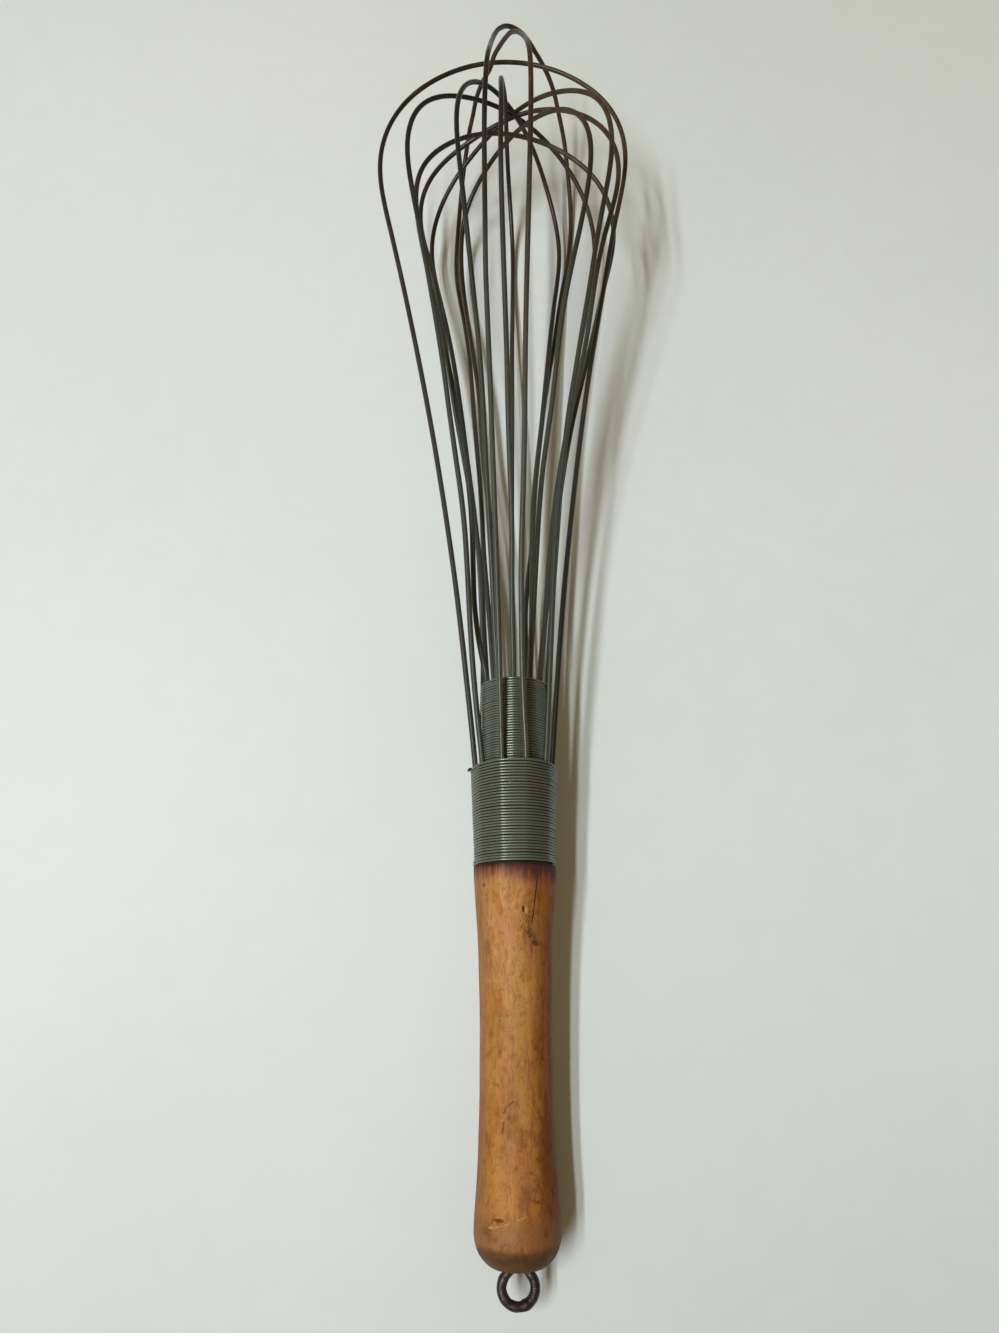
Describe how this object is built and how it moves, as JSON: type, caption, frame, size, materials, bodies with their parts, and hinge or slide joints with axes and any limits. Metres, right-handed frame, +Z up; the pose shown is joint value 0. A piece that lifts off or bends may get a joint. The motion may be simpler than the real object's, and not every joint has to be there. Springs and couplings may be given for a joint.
{
  "type": "balloon whisk",
  "caption": "Balloon whisk with a turned wooden handle, a wire-bound neck, nested sprung wire loops forming an open cage, and a small hanging eye.",
  "frame": {"origin": "centre of the bounding box on the surface the whisk lies on, Z = 0 touching the handle's swell and the two lowest loops", "axes": "+Z up from that surface, +Y along the whisk from the hanging eye toward the tip of the cage, +X to the right when seen from above with the eye toward the viewer"},
  "size_m": [0.121, 0.556, 0.1096],
  "materials": {
    "wood": "worn oiled hardwood, darker at the butt and under the binding",
    "iron": "dark oxidised forged iron",
    "binding_wire": "dull tinned wire, close wound, stained brown in places",
    "outer_wire": "aged steel wire, dark and rusty toward the tip",
    "inner_wire": "aged steel wire, grey near the binding and dark toward the tip"
  },
  "bodies": {
    "root": {"handle": "wood", "hanging_eye": "iron", "outer_binding": "binding_wire", "inner_binding": "binding_wire", "outer_loop_1": "outer_wire", "outer_loop_2": "outer_wire", "outer_loop_3": "outer_wire", "outer_loop_4": "outer_wire", "outer_loop_5": "outer_wire", "inner_loop_1": "inner_wire", "inner_loop_2": "inner_wire", "inner_loop_3": "inner_wire", "inner_loop_4": "inner_wire", "inner_loop_5": "inner_wire"}
  },
  "joints": []
}
